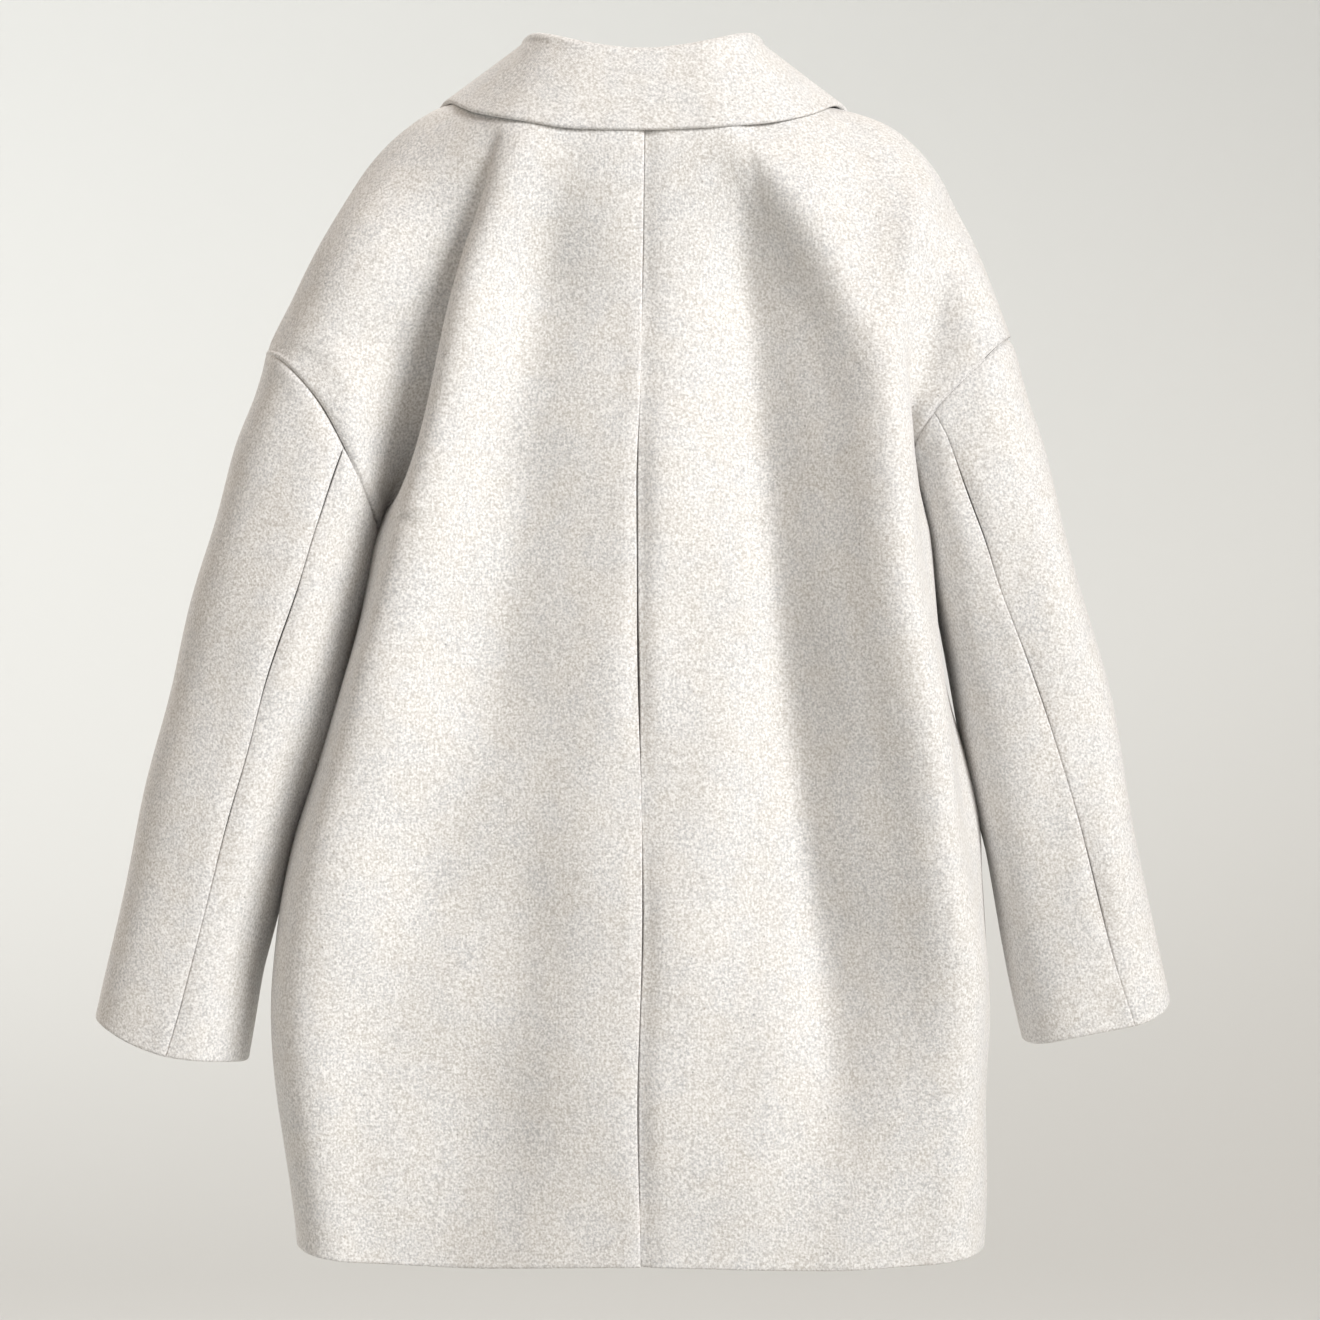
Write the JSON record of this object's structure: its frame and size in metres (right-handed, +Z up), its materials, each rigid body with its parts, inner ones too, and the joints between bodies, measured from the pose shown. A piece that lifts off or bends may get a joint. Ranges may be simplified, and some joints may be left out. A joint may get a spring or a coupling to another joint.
{
  "type": "double-breasted coat",
  "caption": "Hollow cocoon-shaped wool coat with a turn-down collar, notched lapels, wide dropped shoulders, two-piece sleeves and a double-breasted buttoned front.",
  "frame": {"origin": "middle of the neck opening, level with the neck seam at the shoulders, where the wearer holds the coat up", "axes": "+Z up along the hanging coat, -Y out of the front, +Y out of the back, +X to the wearer's left"},
  "size_m": [0.7508, 0.2188, 0.8475],
  "materials": {
    "wool": "felted ecru wool with grey and beige fibres, matt and napped",
    "button": "satin horn-coloured resin"
  },
  "bodies": {
    "root": {"back_left": "wool", "back_right": "wool", "front_left": "wool", "front_right": "wool", "sleeve_left_top": "wool", "sleeve_left_under": "wool", "sleeve_right_top": "wool", "sleeve_right_under": "wool", "collar": "wool", "lapel_left": "wool", "lapel_right": "wool", "button_1": "button", "button_2": "button", "button_3": "button", "button_4": "button", "button_5": "button", "button_6": "button"}
  },
  "joints": []
}
